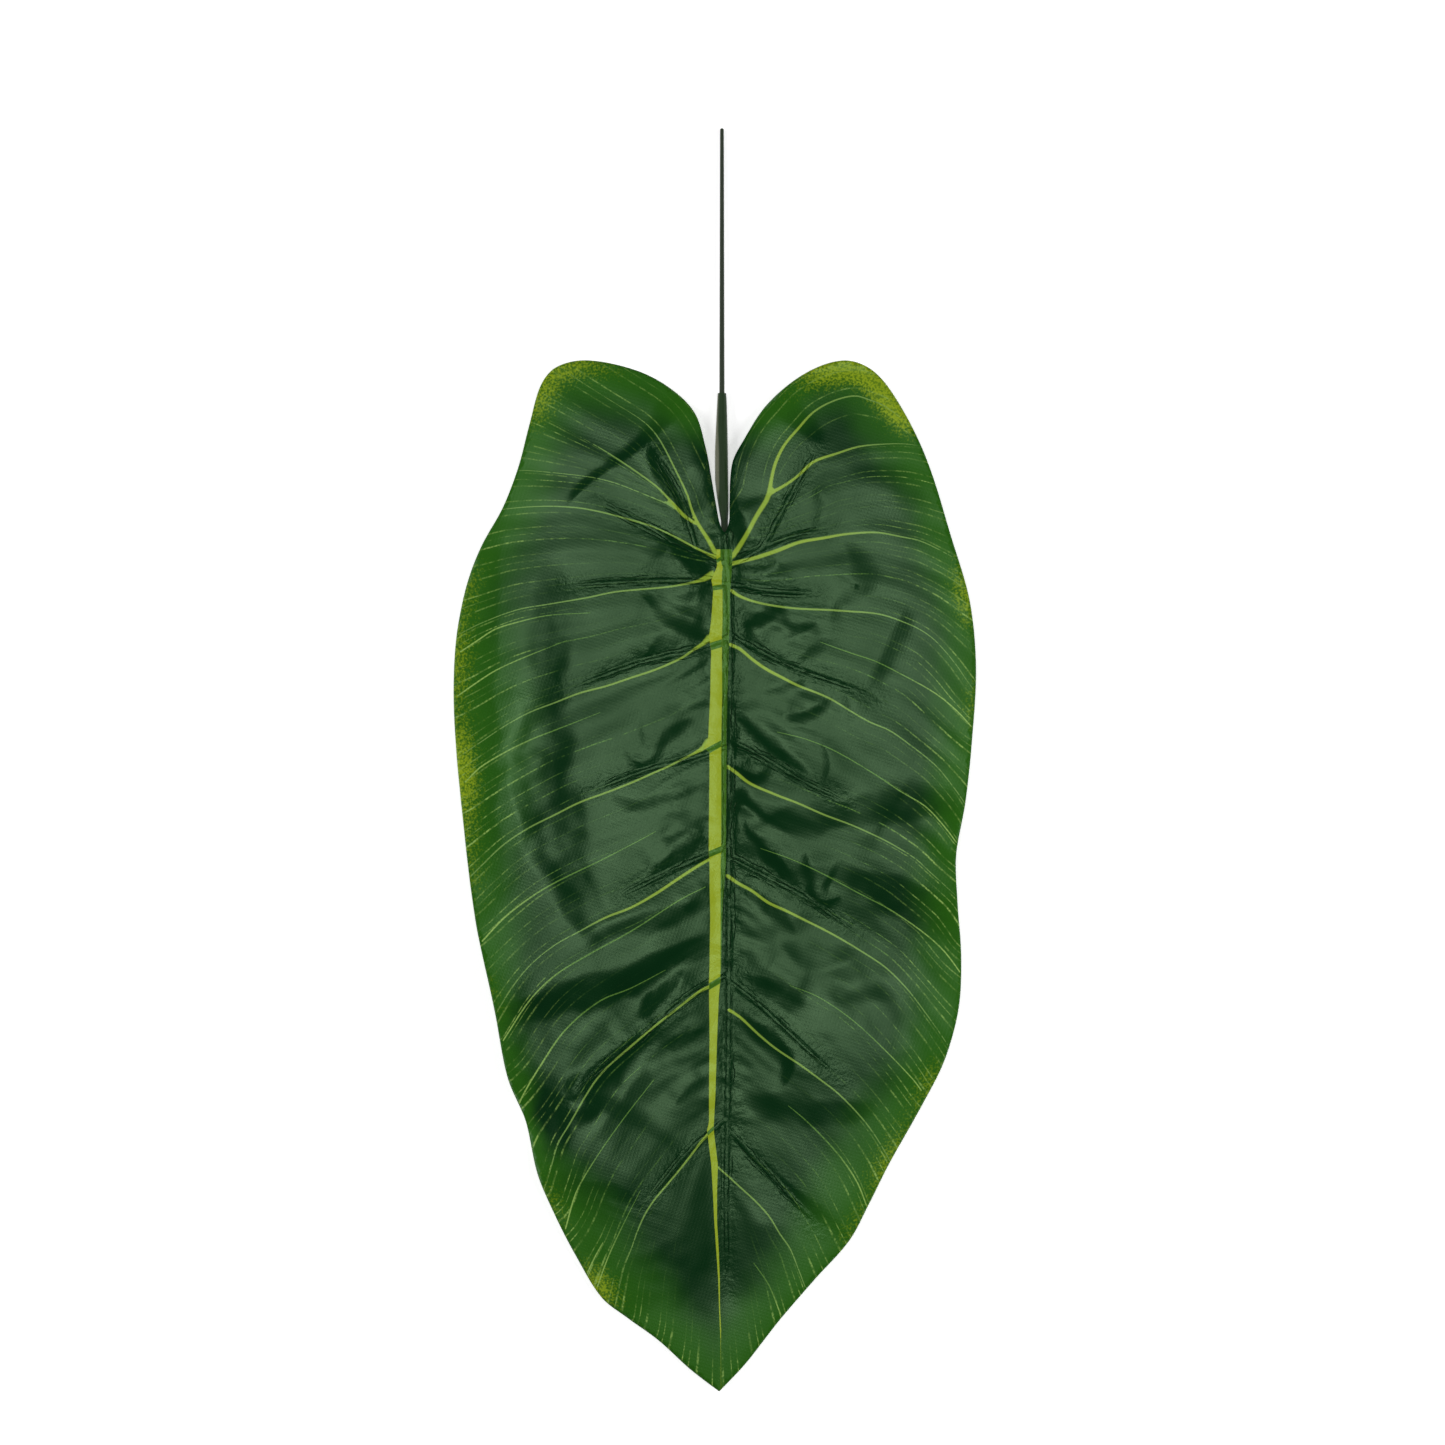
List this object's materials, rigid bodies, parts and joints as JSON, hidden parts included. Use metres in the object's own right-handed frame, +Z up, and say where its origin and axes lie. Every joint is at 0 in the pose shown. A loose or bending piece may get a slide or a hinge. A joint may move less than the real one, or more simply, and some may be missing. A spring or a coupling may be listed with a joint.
{
  "type": "artificial tropical leaf",
  "caption": "Artificial heart-shaped leaf lying face up: printed fabric blade, moulded rib frame behind it, and a coated wire stem plugged into the frame's sleeve.",
  "frame": {"origin": "on the table, at the middle of the leaf's length and width", "axes": "+Y along the stem, from the leaf towards its free end; +Z up, out of the printed face; +X to the right, seen from above"},
  "size_m": [0.1889, 0.4572, 0.0081],
  "materials": {
    "printed_fabric": "glossy film-coated weave with a printed pattern",
    "olive_plastic": "satin moulded plastic",
    "dark_coating": "smooth extruded coating",
    "steel": "drawn wire"
  },
  "bodies": {
    "root": {"blade": "printed_fabric", "rib_frame": "olive_plastic", "stem_coating": "dark_coating", "stem_wire": "steel"}
  },
  "joints": []
}
